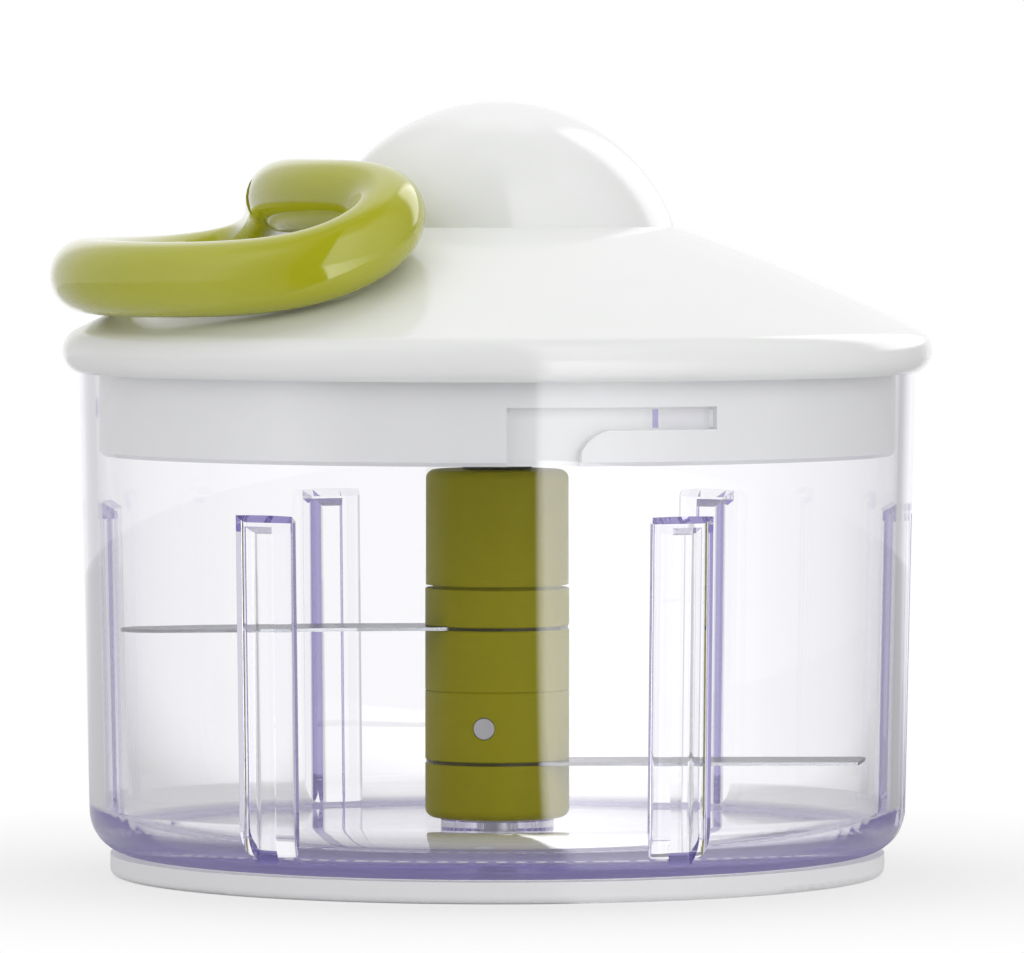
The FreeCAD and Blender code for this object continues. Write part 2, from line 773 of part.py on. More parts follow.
def along_pull(radius, x0, x1):
    """Level round bar on the pull line, from x0 to x1."""
    return Part.makeCylinder(radius, abs(x1 - x0), V(x0, 0, cord_z), V(math.copysign(1, x1 - x0), 0, 0))


def pull_handle():
    body = tube_along(rounded_loop(corners, 0.45), handle_tube_radius)
    body = body.cut(along_pull(handle_bore, knot_seat - 1, cord_point.x + 2 * handle_tube_radius))
    return body.cut(along_pull(knot_pocket_radius, knot_seat, knot_seat - 2 * handle_tube_radius))


def cord_knot():
    """Knot in the pocket of the handle, flattened where it bears."""
    ball = Part.makeSphere(knot_radius, V(knot_seat - knot_radius * 0.85, 0, cord_z))
    bearing = along_pull(knot_radius * 2, knot_seat, knot_seat + knot_radius)
    return ball.cut(bearing)


# ---------------------------------------------------------------- reel, spring and cord
groove_bottom = cord_z - groove_height / 2
groove_top = cord_z + groove_height / 2
reel_top = groove_top + flange_thickness
barrel_radius = dome_reach(inner_dome, groove_bottom) - reel_gap
flange_radius = dome_reach(inner_dome, reel_top) - reel_gap
drum_radius = flange_radius - flange_stand - 2 * cord_radius * cord_layers
barrel_bottom = groove_bottom - barrel_height
web_bottom = groove_bottom - web_thickness
spring_cover_top = barrel_bottom + spring_cover_thickness
spring_bottom = spring_cover_top + spring_margin
spring_top = web_bottom - spring_margin
socket_inner = stud_radius + socket_gap
socket_radius = socket_inner + socket_wall
socket_mouth = cover_floor_bottom - socket_drop
socket_end = lobe_top + end_gap + 0.6
bush_radius = socket_radius + fit + bush_wall
arbor_inner = bush_radius + fit
arbor_top = web_bottom - spring_margin
axle_boss_bottom = reel_top + washer_thickness + 2 * touch_gap
axle_top = dome_centre + dome_radius - axle_cover
clip_top = cover_floor_bottom - bush_flange_thickness - clip_step
coil_radius = drum_radius + 2 * cord_radius * cord_layers
outer_lay = coil_radius - cord_radius


def reel():
    """Cord drum, spring barrel and drive socket in one piece."""
    body = turned(
        (0, socket_end), (socket_inner, socket_end), (socket_inner, socket_mouth),
        (socket_radius, socket_mouth), (socket_radius, web_bottom),
        (barrel_radius - barrel_wall, web_bottom), (barrel_radius - barrel_wall, barrel_bottom),
        (barrel_radius, barrel_bottom), (barrel_radius, groove_bottom), (drum_radius, groove_bottom),
        (drum_radius, groove_top), (flange_radius, groove_top), (flange_radius, reel_top),
        (0, reel_top))
    for turn in (0, 180):
        key = sector(rib_inner_radius, socket_inner + 1, lobe_bottom + end_gap, socket_end + 1,
                     turn, rib_angle)
        body = body.fuse(key)
    body = body.cut(ring(0, axle_radius + fit, reel_top - axle_depth - end_gap, reel_top))
    body = body.cut(ring(socket_radius - clip_groove_depth, socket_radius + 1,
                         clip_top - clip_thickness - touch_gap, clip_top))
    hook_slot = box(barrel_radius - barrel_wall - 1, barrel_radius + 1, -spring_strip, spring_strip,
                    spring_bottom - touch_gap, spring_top + touch_gap)
    return body.cut(hook_slot).removeSplitter()


def spring_cover():
    """Disc that closes the spring barrel from below and turns with it."""
    return ring(arbor_inner + arbor_wall + drum_gap, barrel_radius - barrel_wall,
                barrel_bottom, spring_cover_top)


def return_spring():
    """Spiral strip between the arbor and the barrel, with a hook into each."""
    inner = arbor_inner + arbor_wall + drum_gap
    outer = barrel_radius - barrel_wall - drum_gap - spring_strip
    steps = int(spring_turns * 12)
    sides = []
    for shift in (0, spring_strip):
        points = []
        for k in range(steps + 1):
            turn = 2 * math.pi * spring_turns * k / steps
            radius = inner + (outer - inner) * k / steps + shift
            points.append(V(radius * math.cos(turn), radius * math.sin(turn), spring_bottom))
        curve = Part.BSplineCurve()
        curve.interpolate(points)
        sides.append((curve.toShape(), points[0], points[-1]))
    (low, low_start, low_end), (high, high_start, high_end) = sides
    strip = Part.Face(Part.Wire(Part.__sortEdges__([
        low, Part.makeLine(low_end, high_end), high, Part.makeLine(high_start, low_start)])))
    body = strip.extrude(UP * (spring_top - spring_bottom))
    half = spring_strip / 2
    inner_hook = box(arbor_inner + 0.3, inner + spring_strip, -half, half, spring_bottom, spring_top)
    outer_hook = box(outer, barrel_radius, -half, half, spring_bottom, spring_top)
    return body.fuse(inner_hook).fuse(outer_hook).removeSplitter()


def drive_bush():
    """Flanged plain bearing of the socket in the floor of the cover."""
    inner = socket_radius + fit
    body = ring(inner, bush_radius, cover_floor_bottom, spring_bottom)
    flange = ring(inner, bush_radius + bush_flange_width,
                  cover_floor_bottom - bush_flange_thickness, cover_floor_bottom)
    return body.fuse(flange).removeSplitter()


def socket_clip():
    """Open ring in the groove of the socket, under the bush."""
    inner = socket_radius - clip_groove_depth + fit
    body = ring(inner, inner + clip_width, clip_top - clip_thickness, clip_top)
    gap = sector(inner - 1, inner + clip_width + 1, clip_top - clip_thickness, clip_top,
                 180, clip_opening)
    return body.cut(gap)


def reel_axle():
    return ring(0, axle_radius, reel_top - axle_depth, axle_top)


def thrust_washer():
    return ring(axle_radius + fit, washer_radius, reel_top + touch_gap,
                reel_top + touch_gap + washer_thickness)


def cord_winding():
    """Outer shape of the cord wound on the drum: neighbouring turns as one grooved ring."""
    lays = []
    first = cord_z - (cord_turns - 1) * cord_radius
    for layer in range(cord_layers):
        for turn in range(cord_turns):
            lay_radius = drum_radius + cord_radius * (2 * layer + 1)
            lay_z = first + 2 * cord_radius * turn
            lays.append(Part.makeTorus(lay_radius, cord_radius, V(0, 0, lay_z)))
    half_height = (cord_turns - 0.5) * cord_radius
    filler = ring(drum_radius + fit, coil_radius - cord_radius * 0.5,
                  cord_z - half_height, cord_z + half_height)
    body = filler.multiFuse(lays)
    return body.cut(ring(0, drum_radius + fit, groove_bottom, groove_top)).removeSplitter()


def eyelet_inner_x():
    return -(dome_reach(inner_dome, cord_z) + eyelet_inset)


def cord_eyelet():
    """Guide in the dome wall with a rounded mouth inside."""
    start = eyelet_inner_x()
    body = along_pull(eyelet_radius - touch_gap / 2, start, start - dome_radius)
    cap = Part.makeSphere(dome_radius + eyelet_stand, V(0, 0, dome_centre))
    body = body.common(cap)
    return body.cut(along_pull(eyelet_bore, start + 1, start - dome_radius))


def pull_cord():
    """Cord from the winding, round the eyelet's mouth and straight to the knot."""
    corner = V(eyelet_inner_x() + cord_bend_radius * 0.5, 0, cord_z)
    aim = math.acos(outer_lay / -corner.x)
    leave = V(outer_lay * math.cos(math.pi - aim), outer_lay * math.sin(math.pi - aim), cord_z)
    run = leave - corner
    run_length = run.Length
    run.normalize()
    bend = math.pi - PULL.getAngle(run)
    reach = cord_bend_radius * math.tan(bend / 2)
    arc_start = corner + PULL * reach
    arc_end = corner + run * reach
    inward = (PULL + run).normalize()
    arc_middle = corner + inward * (cord_bend_radius / math.cos(bend / 2) - cord_bend_radius)
    outer_run = along_pull(cord_radius, knot_seat + touch_gap / 2, arc_start.x)
    arc = Part.Arc(arc_start, arc_middle, arc_end)
    circle = arc.toShape().Curve
    profile = Part.Face(Part.Wire(Part.makeCircle(cord_radius, arc_start, PULL)))
    turn = math.degrees(arc.LastParameter - arc.FirstParameter)
    curved = profile.revolve(circle.Center, circle.Axis, turn)
    inner_run = Part.makeCylinder(cord_radius, run_length - reach, arc_end, run)
    body = outer_run.multiFuse([curved, inner_run]).removeSplitter()
    print(f"cord bend radius {cord_bend_radius:.1f}, run {run_length - reach:.1f}")
    return body.cut(ring(0, coil_radius + touch_gap, groove_bottom, groove_top))


# ---------------------------------------------------------------- write the nodes
nodes = {
    "bowl": bowl(),
    "foot_ring": foot_ring(),
    "pivot_pin": pivot_pin(),
    "hub_base": hub_base(),
    "lower_blade": lower_blade(),
    "hub_lower_spacer": hub_lower_spacer(),
    "hub_middle_spacer": hub_middle_spacer(),
    "upper_blade": upper_blade(),
    "hub_collar": hub_collar(),
    "hub_sleeve": hub_sleeve(),
    "drive_core": drive_core(),
    "cross_pin": cross_pin(),
    "lid_shell": lid_shell(),
    "lid_cover": lid_cover(),
    "cover_screws": cover_screws(),
    "drive_bush": drive_bush(),
    "socket_clip": socket_clip(),
    "reel": reel(),
    "spring_cover": spring_cover(),
    "return_spring": return_spring(),
    "cord_winding": cord_winding(),
    "reel_axle": reel_axle(),
    "thrust_washer": thrust_washer(),
    "cord_eyelet": cord_eyelet(),
    "pull_cord": pull_cord(),
    "cord_knot": cord_knot(),
    "pull_handle": pull_handle(),
}
for name, shape in nodes.items():
    save(name, shape)
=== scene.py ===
import bmesh
import bpy
import json
import math
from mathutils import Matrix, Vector


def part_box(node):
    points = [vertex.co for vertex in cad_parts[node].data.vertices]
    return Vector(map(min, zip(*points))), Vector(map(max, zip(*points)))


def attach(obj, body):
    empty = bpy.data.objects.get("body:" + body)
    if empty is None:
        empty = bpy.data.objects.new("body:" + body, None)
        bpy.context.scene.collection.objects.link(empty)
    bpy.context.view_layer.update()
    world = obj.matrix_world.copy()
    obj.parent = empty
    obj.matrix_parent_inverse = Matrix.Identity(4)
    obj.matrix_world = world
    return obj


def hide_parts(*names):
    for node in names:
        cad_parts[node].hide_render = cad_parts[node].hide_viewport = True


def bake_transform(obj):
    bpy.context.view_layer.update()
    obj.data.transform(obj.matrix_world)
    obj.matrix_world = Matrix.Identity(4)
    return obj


# Pull-cord food chopper: looks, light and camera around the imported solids. Metres, +Z up,
# -Y the front, -X the way the handle is pulled.

MM = 0.001

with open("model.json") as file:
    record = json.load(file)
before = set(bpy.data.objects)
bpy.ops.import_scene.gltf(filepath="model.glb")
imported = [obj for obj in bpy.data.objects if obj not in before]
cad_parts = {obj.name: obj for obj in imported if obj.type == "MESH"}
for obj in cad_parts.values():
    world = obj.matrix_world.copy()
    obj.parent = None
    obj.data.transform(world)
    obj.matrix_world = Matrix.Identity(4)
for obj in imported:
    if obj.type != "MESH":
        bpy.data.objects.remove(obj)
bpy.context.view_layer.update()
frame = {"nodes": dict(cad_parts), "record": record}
nodes = frame["nodes"]

# ---------------------------------------------------------------- camera, from the photograph
PHOTO_WIDTH = 1024
FOCAL_PIXELS = 9000
SENSOR_MM = 36
CAMERA_DISTANCE = 1.347
CAMERA_HEIGHT = 0.1086
CAMERA_PITCH = 2.09            # degrees below level
CAMERA_SIDE = 0.0022           # the object's axis stands left of the picture's middle


def add_camera():
    data = bpy.data.cameras.new("camera")
    data.sensor_width = SENSOR_MM
    data.lens = FOCAL_PIXELS / PHOTO_WIDTH * SENSOR_MM
    data.clip_start = 0.05
    data.clip_end = 30
    camera = bpy.data.objects.new("camera", data)
    camera.location = (CAMERA_SIDE, -CAMERA_DISTANCE, CAMERA_HEIGHT)
    camera.rotation_euler = (math.radians(90 - CAMERA_PITCH), 0, 0)
    bpy.context.collection.objects.link(camera)
    bpy.context.scene.camera = camera


# ---------------------------------------------------------------- node helpers
class Tree:
    """A material's or world's node tree with short ways to add and join nodes."""

    def __init__(self, owner):
        owner.use_nodes = True
        self.nodes = owner.node_tree.nodes
        self.links = owner.node_tree.links
        self.nodes.clear()

    def add(self, kind, **inputs):
        node = self.nodes.new("ShaderNode" + kind)
        for name, value in inputs.items():
            node.inputs[name.replace("_", " ")].default_value = value
        return node

    def join(self, source, target):
        self.links.new(source, target)

    def math(self, operation, first, second=None, clamp=False):
        node = self.nodes.new("ShaderNodeMath")
        node.operation = operation
        node.use_clamp = clamp
        for socket, value in zip(node.inputs, (first, second)):
            if value is None:
                continue
            if isinstance(value, (int, float)):
                socket.default_value = value
            else:
                self.join(value, socket)
        return node.outputs[0]

    def position(self, scale=(1, 1, 1)):
        """Object coordinates times a scale for each axis."""
        coordinates = self.nodes.new("ShaderNodeTexCoord")
        mapping = self.nodes.new("ShaderNodeMapping")
        mapping.inputs["Scale"].default_value = scale
        self.join(coordinates.outputs["Object"], mapping.inputs["Vector"])
        return mapping.outputs["Vector"]

    def noise(self, size, scale=(1, 1, 1), detail=3.0, roughness=0.5):
        """Noise whose grains are about size metres across."""
        texture = self.add("TexNoise", Scale=1 / size, Detail=detail, Roughness=roughness)
        self.join(self.position(scale), texture.inputs["Vector"])
        return texture.outputs["Fac"]

    def ramp(self, value, low, high, start=0.0, end=1.0):
        """Value from start to end, spread over low to high."""
        node = self.nodes.new("ShaderNodeMapRange")
        node.clamp = True
        node.inputs["From Min"].default_value = start
        node.inputs["From Max"].default_value = end
        node.inputs["To Min"].default_value = low
        node.inputs["To Max"].default_value = high
        self.join(value, node.inputs["Value"])
        return node.outputs["Result"]

    def blend_colour(self, value, first, second):
        """Mix of two colours, each given as numbers or as a socket."""
        node = self.nodes.new("ShaderNodeMix")
        node.data_type = "RGBA"
        for socket, colour in zip((node.inputs["A"], node.inputs["B"]), (first, second)):
            if isinstance(colour, tuple):
                socket.default_value = (*colour, 1)
            else:
                self.join(colour, socket)
        self.join(value, node.inputs["Factor"])
        return node.outputs["Result"]

    def length(self, vector):
        node = self.nodes.new("ShaderNodeVectorMath")
        node.operation = "LENGTH"
        self.join(vector, node.inputs[0])
        return node.outputs["Value"]

    def parts(self, vector):
        node = self.nodes.new("ShaderNodeSeparateXYZ")
        self.join(vector, node.inputs["Vector"])
        return node.outputs["X"], node.outputs["Y"], node.outputs["Z"]

    def mix_shader(self, factor, first, second):
        node = self.add("MixShader")
        for socket, source in zip(node.inputs, (factor, first, second)):
            self.join(source, socket)
        return node.outputs["Shader"]

    def close(self, surface, volume=None, kind="OutputMaterial"):
        output = self.add(kind)
        self.join(surface, output.inputs["Surface"])
        if volume:
            self.join(volume, output.inputs["Volume"])

    def bump(self, height, strength, distance):
        node = self.add("Bump", Strength=strength, Distance=distance)
        self.join(height, node.inputs["Height"])
        return node.outputs["Normal"]


def plastic(name, colour, variation, roughness, grain=0.0007, relief=0.00002, **sockets):
    """Moulded plastic: slight mottling, uneven gloss and a fine moulding texture."""
    material = bpy.data.materials.new(name)
    tree = Tree(material)
    shader = tree.add("BsdfPrincipled", **sockets)
    mottle = tree.noise(0.012)
    darker = tuple(channel * (1 - variation) for channel in colour)
    lighter = tuple(min(1, channel * (1 + variation)) for channel in colour)
    tree.join(tree.blend_colour(mottle, darker, lighter), shader.inputs["Base Color"])
    gloss = tree.ramp(tree.noise(0.006), roughness * 0.8, roughness * 1.2, 0.3, 0.7)
    tree.join(gloss, shader.inputs["Roughness"])
    tree.join(tree.bump(tree.noise(grain, detail=2), 0.25, relief), shader.inputs["Normal"])
    tree.close(shader.outputs["BSDF"])
    return material, tree, shader


# ---------------------------------------------------------------- materials
def white_plastic():
    colour = (0.83, 0.84, 0.83)
    return plastic("white_plastic", colour, 0.008, 0.14, Coat_Weight=0.25, Coat_Roughness=0.05)[0]


def handle_green():
    colour = (0.405, 0.41, 0.011)
    return plastic("handle_green", colour, 0.03, 0.1, Coat_Weight=0.5, Coat_Roughness=0.03)[0]


def hub_green():
    """Turned-looking green plastic with faint scuffs round it."""
    colour = (0.30, 0.275, 0.006)
    material, tree, shader = plastic("hub_green", colour, 0.04, 0.45, Specular_IOR_Level=0.15)
    scuffs = tree.ramp(tree.noise(0.01, scale=(1, 1, 40), detail=5), 0, 1, 0.55, 0.75)
    base = shader.inputs["Base Color"].links[0].from_socket
    scuffed = tree.blend_colour(tree.math("MULTIPLY", scuffs, 0.5), base, (0.34, 0.32, 0.02))
    tree.join(scuffed, shader.inputs["Base Color"])
    return material


# Painted shade: a much darker green than the hub's, for the green that sits in the shade of the lid
def core_green():
    return plastic("core_green", (0.045, 0.055, 0.012), 0.05, 0.4)[0]


def pale_plastic(name, colour, roughness):
    return plastic(name, colour, 0.03, roughness)[0]


HUB_SHADE = (0.05, 0.045, 0.01)    # painted shade of the hub on the blades where they are clamped in it
HUB_SHADE_RADIUS = 0.0107
HUB_SHADE_EDGE = 0.0004


def steel(name, colour, roughness, stretch, shaded_within=0.0):
    """Ground steel with streaks along one axis, and painted shade within the radius it is given: dark and
    not metallic there.
    """
    material = bpy.data.materials.new(name)
    tree = Tree(material)
    shader = tree.add("BsdfPrincipled", Metallic=1.0)
    shader.inputs["Specular Tint"].default_value = (0.5, 0.5, 0.52, 1)
    streaks = tree.noise(0.0008, scale=stretch, detail=4, roughness=0.6)
    darker = tuple(channel * 0.88 for channel in colour)
    ground = tree.blend_colour(streaks, darker, colour)
    # painted shade of the hub: within this radius the steel is dark and not metallic
    if shaded_within:
        radius = tree.length(tree.position((1, 1, 0)))
        unshaded = tree.ramp(radius, 0.0, 1.0, shaded_within, shaded_within + HUB_SHADE_EDGE)
        tree.join(unshaded, shader.inputs["Metallic"])
        ground = tree.blend_colour(unshaded, HUB_SHADE, ground)
    tree.join(ground, shader.inputs["Base Color"])
    tree.join(tree.ramp(streaks, roughness * 0.7, roughness * 1.3), shader.inputs["Roughness"])
    tree.join(tree.bump(streaks, 0.2, 0.00001), shader.inputs["Normal"])
    tree.close(shader.outputs["BSDF"])
    return material


def braided_cord():
    """White cord whose strands cross in a fine diamond pattern."""
    material = bpy.data.materials.new("braided_cord")
    tree = Tree(material)
    shader = tree.add("BsdfPrincipled", Roughness=0.75, Sheen_Weight=0.3, Sheen_Roughness=0.4)
    place = tree.position()
    strands = []
    for tilt in (1, -1):
        wave = tree.nodes.new("ShaderNodeTexWave")
        wave.inputs["Scale"].default_value = 420
        turned = tree.nodes.new("ShaderNodeMapping")
        turned.inputs["Rotation"].default_value = (0, math.radians(45 * tilt), math.radians(30 * tilt))
        tree.join(place, turned.inputs["Vector"])
        tree.join(turned.outputs["Vector"], wave.inputs["Vector"])
        strands.append(wave.outputs["Fac"])
    weave = tree.math("MULTIPLY", *strands)
    tree.join(tree.blend_colour(weave, (0.62, 0.62, 0.58), (0.85, 0.85, 0.82)), shader.inputs["Base Color"])
    tree.join(tree.bump(weave, 0.6, 0.0002), shader.inputs["Normal"])
    tree.close(shader.outputs["BSDF"])
    return material


# violet painted light in the bottom corner of the bowl
CORNER_PAINT_VIOLET = (0.30, 0.27, 0.50)
CORNER_PAINT_SHARE = 0.75             # share of the painted violet light in the corner
CORNER_FADE = (0.0048, 0.0068) # heights between which it thins out
CORNER_START = (0.048, 0.056)  # radii between which it sets in

TRAPPED_AFTER = 14             # bounces after which light counts as caught inside the plastic
TRAPPED_LIGHT = (0.48, 0.455, 0.62)
TINT = (0.30, 0.21, 0.74)
TINT_DENSITY = 13.0


def clear_plastic():
    """Clear bowl plastic: violet absorption that gathers where light runs along the wall, a violet
    painted light in the bottom corner that stands in for light carried along the wall, and a fixed
    violet light for what stays caught inside. The painted corner light and the fixed light are aids for the
    look and not physical."""
    material = bpy.data.materials.new("clear_plastic")
    tree = Tree(material)
    glass = tree.add("BsdfPrincipled", IOR=1.56, Transmission_Weight=1.0, Roughness=0.0)
    glass.inputs["Base Color"].default_value = (1, 1, 1, 1)
    x, y, height = tree.parts(tree.position())
    squares = tree.math("ADD", tree.math("MULTIPLY", x, x), tree.math("MULTIPLY", y, y))
    low = tree.ramp(height, CORNER_PAINT_SHARE, 0.0, *CORNER_FADE)
    outside = tree.ramp(tree.math("SQRT", squares), 0.0, 1.0, *CORNER_START)
    # painted light: a violet diffuse layer in the bottom corner, for light carried along the wall
    corner_paint = tree.add("BsdfDiffuse")
    corner_paint.inputs["Color"].default_value = (*CORNER_PAINT_VIOLET, 1)
    body = tree.mix_shader(tree.math("MULTIPLY", low, outside), glass.outputs["BSDF"], corner_paint.outputs["BSDF"])
    path = tree.add("LightPath")
    trapped = tree.add("Emission", Strength=1.0)
    trapped.inputs["Color"].default_value = (*TRAPPED_LIGHT, 1)
    caught = tree.math("GREATER_THAN", path.outputs["Ray Depth"], TRAPPED_AFTER)
    guide = tree.mix_shader(caught, body, trapped.outputs["Emission"])
    clear = tree.add("BsdfTransparent").outputs["BSDF"]
    passing = tree.math("MAXIMUM", path.outputs["Is Shadow Ray"], path.outputs["Is Diffuse Ray"])
    tint = tree.add("VolumeAbsorption", Density=TINT_DENSITY)
    tint.inputs["Color"].default_value = (*TINT, 1)
    tree.close(tree.mix_shader(passing, guide, clear), tint.outputs["Volume"])
    return material


def foot_rubber():
    """Milky soft rubber that lets some light through."""
    return plastic("foot_rubber", (0.93, 0.93, 0.94), 0.01, 0.4, Transmission_Weight=0.1, IOR=1.3)[0]


# ---------------------------------------------------------------- surfaces on the solids
SLOT_MATERIALS = {
    "clear_bowl": clear_plastic(),
    "foot_rubber": foot_rubber(),
    "white_plastic": white_plastic(),
    "handle_green": handle_green(),
    "hub_green": hub_green(),
    "core_green": core_green(),
    "blade_steel": steel("blade_steel", (0.42, 0.43, 0.45), 0.22, (4, 60, 60), HUB_SHADE_RADIUS),
    "pin_steel": steel("pin_steel", (0.76, 0.76, 0.77), 0.45, (60, 4, 60)),
    "spring_steel": steel("spring_steel", (0.36, 0.38, 0.43), 0.3, (60, 60, 4)),
    "reel_plastic": pale_plastic("reel_plastic", (0.62, 0.62, 0.60), 0.4),
    "bush_plastic": pale_plastic("bush_plastic", (0.76, 0.75, 0.68), 0.45),
    "cord_fabric": braided_cord(),
}
SMOOTH_ANGLE = math.radians(30)


def dress_solids():
    for row in frame["record"]["subparts"]:
        solid = nodes[row["node"]]
        solid.data.materials.clear()
        solid.data.materials.append(SLOT_MATERIALS[row["material_slot"]])


# ---------------------------------------------------------------- bowl
# Way out, radius at the table and slope of each side: the lines that most of its mesh points lie on.
BOWL_SIDES = [(1, 0.060898, 0.02079), (-1, 0.058697, 0.02080)]
ON_SIDE = 0.00001              # how near the side a point has to be to lie on it
RIB_RISE = (0.012, 0.066)      # heights between which the flat faces are those of ribs and flutes
RIB_REACH = 0.050
BROAD = 0.0006                 # narrower faces there are taken for fillets
TANGENT = math.cos(math.radians(13))   # normals further apart are taken for different surfaces


def side_normals(polygon, points):
    """Normals, from its line above, of a face on one of the two conical sides, or None."""
    for way, base, slope in BOWL_SIDES:
        if all(abs(point.xy.length - base - slope * point.z) < ON_SIDE for point in points):
            normals = [Vector((*(way * point.xy.normalized()), -way * slope)).normalized()
                       for point in points]
            if normals[0].dot(polygon.normal) > TANGENT:
                return normals
    return None


def flat_normals(polygon, points):
    """Normals of a flat face of a rib or a flute, or None."""
    longest = max((points[k] - points[k - 1]).length for k in range(len(points)))
    low, high = RIB_RISE
    centre = polygon.center
    if low < centre.z < high and centre.xy.length > RIB_REACH and 2 * polygon.area / longest > BROAD:
        return [polygon.normal.copy() for _ in points]
    return None


def place_key(point):
    return tuple(round(value, 6) for value in point)


def add_bowl():
    """The bowl's own mesh with computed normals on its sides, ribs and flutes, to refract evenly."""
    mesh = nodes["bowl"].data.copy()
    computed = {}
    for polygon in mesh.polygons:
        points = [mesh.vertices[index].co for index in polygon.vertices]
        found = side_normals(polygon, points) or flat_normals(polygon, points)
        for point, normal in zip(points, found or []):
            computed.setdefault(place_key(point), []).append(normal)
    normals = [corner.vector.copy() for corner in mesh.corner_normals]
    for loop in mesh.loops:
        now = normals[loop.index]
        key = place_key(mesh.vertices[loop.vertex_index].co)
        best = max(computed.get(key, []), key=now.dot, default=None)
        if best is not None and best.dot(now) > TANGENT:
            normals[loop.index] = best
    mesh.shade_smooth()
    mesh.normals_split_custom_set(normals)
    add_object("clear_bowl", mesh, "bowl", "clear_bowl", "bowl")


# ---------------------------------------------------------------- foot ring
FOOT_AIR = 0.00008             # below the bowl, so that the two faces don't coincide


def add_foot():
    """The soft ring, with its upper faces a hair below the bowl's."""
    solid = nodes["foot_ring"]
    mesh = solid.data.copy()
    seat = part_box("bowl")[0].z
    for vertex in mesh.vertices:
        if vertex.co.z > seat - FOOT_AIR:
            vertex.co.z -= FOOT_AIR
    add_object("soft_foot", mesh, "bowl", "foot_rubber", "foot_ring")


# ---------------------------------------------------------------- spring
COIL_INSIDE = 0.01185          # just within the coil's innermost turn, and clear of the arbor


def add_spring():
    """The coil as it turns with the reel, without the hook that stays in the cover's arbor."""
    low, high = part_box("return_spring")
    mesh = nodes["return_spring"].data.copy()
    spring = add_object("coil_spring", mesh, None, "spring_steel", "return_spring")
    cut(spring, COIL_INSIDE, (0, 0, low.z - MM), (0, 0, high.z + MM))
    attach(spring, "reel")


# ---------------------------------------------------------------- handle and cord
HANDLE_TUBE = 0.0055
HANDLE_BORE = 0.0013
POCKET_RADIUS = 0.0027
POCKET_DEPTH = 0.0042
CORD_RADIUS = 0.001
HANDLE_CORNERS = [             # of the handle's centre line, as the solid's
    (-15.4, -31.8, 101.1), (-25.4, -21.0, 101.4), (-31.7, -6.2, 101.6), (-32.7, 12.3, 100.6),
    (-32.9, 27.6, 97.4), (-36.8, 42.3, 91.6), (-50.4, 42.0, 89.5), (-60.3, 19.9, 89.6),
    (-61.8, -8.0, 89.7), (-57.3, -30.0, 89.5), (-42.9, -44.7, 89.4), (-26.9, -50.5, 90.8),
    (-16.2, -45.2, 95.9)]


def mesh_of(name, curve):
    """Mesh object made from a curve with a bevel."""
    holder = bpy.data.objects.new(name + "_line", curve)
    bpy.context.collection.objects.link(holder)
    graph = bpy.context.evaluated_depsgraph_get()
    mesh = bpy.data.meshes.new_from_object(holder.evaluated_get(graph))
    bpy.data.objects.remove(holder)
    mesh.name = name
    return mesh


def add_object(name, mesh, body, slot, *replaced):
    piece = bpy.data.objects.new(name, mesh)
    bpy.context.collection.objects.link(piece)
    mesh.materials.clear()
    mesh.materials.append(SLOT_MATERIALS[slot])
    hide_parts(*replaced)
    if body:
        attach(piece, body)
    return piece


def cut(piece, radius, start, end):
    """Drills a round hole between two points into a mesh piece."""
    start, end = Vector(start), Vector(end)
    shape = bmesh.new()
    bmesh.ops.create_cone(shape, cap_ends=True, segments=48, radius1=radius, radius2=radius,
                          depth=(end - start).length)
    turn = (end - start).to_track_quat("Z", "Y").to_matrix().to_4x4()
    turn.translation = (start + end) / 2
    bmesh.ops.transform(shape, matrix=turn, verts=shape.verts)
    mesh = bpy.data.meshes.new("drill")
    shape.to_mesh(mesh)
    shape.free()
    drill = bpy.data.objects.new("drill", mesh)
    bpy.context.collection.objects.link(drill)
    modifier = piece.modifiers.new("hole", "BOOLEAN")
    modifier.operation = "DIFFERENCE"
    modifier.solver = "EXACT"
    modifier.object = drill
    graph = bpy.context.evaluated_depsgraph_get()
    mesh = bpy.data.meshes.new_from_object(piece.evaluated_get(graph))
    piece.modifiers.clear()
    piece.data = mesh
    bpy.data.objects.remove(drill)


def add_handle():
    """Closed ring on one smooth line, with the cord's bore and the pocket of its knot."""
    corners = [Vector(corner) * MM for corner in HANDLE_CORNERS]
    count = len(corners)
    curve = bpy.data.curves.new("handle", "CURVE")
    curve.dimensions = "3D"
    curve.bevel_depth = HANDLE_TUBE
    curve.bevel_resolution = 14
    spline = curve.splines.new("NURBS")
    spline.points.add(count - 1)
    for k, corner in enumerate(corners):
        neighbours = corners[k - 1] + corners[(k + 1) % count]
        spline.points[k].co = (*(corner - (neighbours - 2 * corner) / 24), 1)
    spline.use_cyclic_u = True
    spline.order_u = 4
    spline.resolution_u = 14
    handle = add_object("ring_handle", mesh_of("ring_handle", curve), None, "handle_green", "pull_handle")
    knot_low, knot_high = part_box("cord_knot")
    level = (knot_low.z + knot_high.z) / 2
    seat = knot_high.x
    inside = seat + 3 * HANDLE_TUBE
    cut(handle, HANDLE_BORE, (seat - MM, 0, level), (inside, 0, level))
    cut(handle, POCKET_RADIUS, (seat - 2 * POCKET_DEPTH, 0, level), (seat, 0, level))
    handle.data.shade_smooth()
    handle.data.set_sharp_from_angle(angle=SMOOTH_ANGLE)
    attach(handle, "handle")


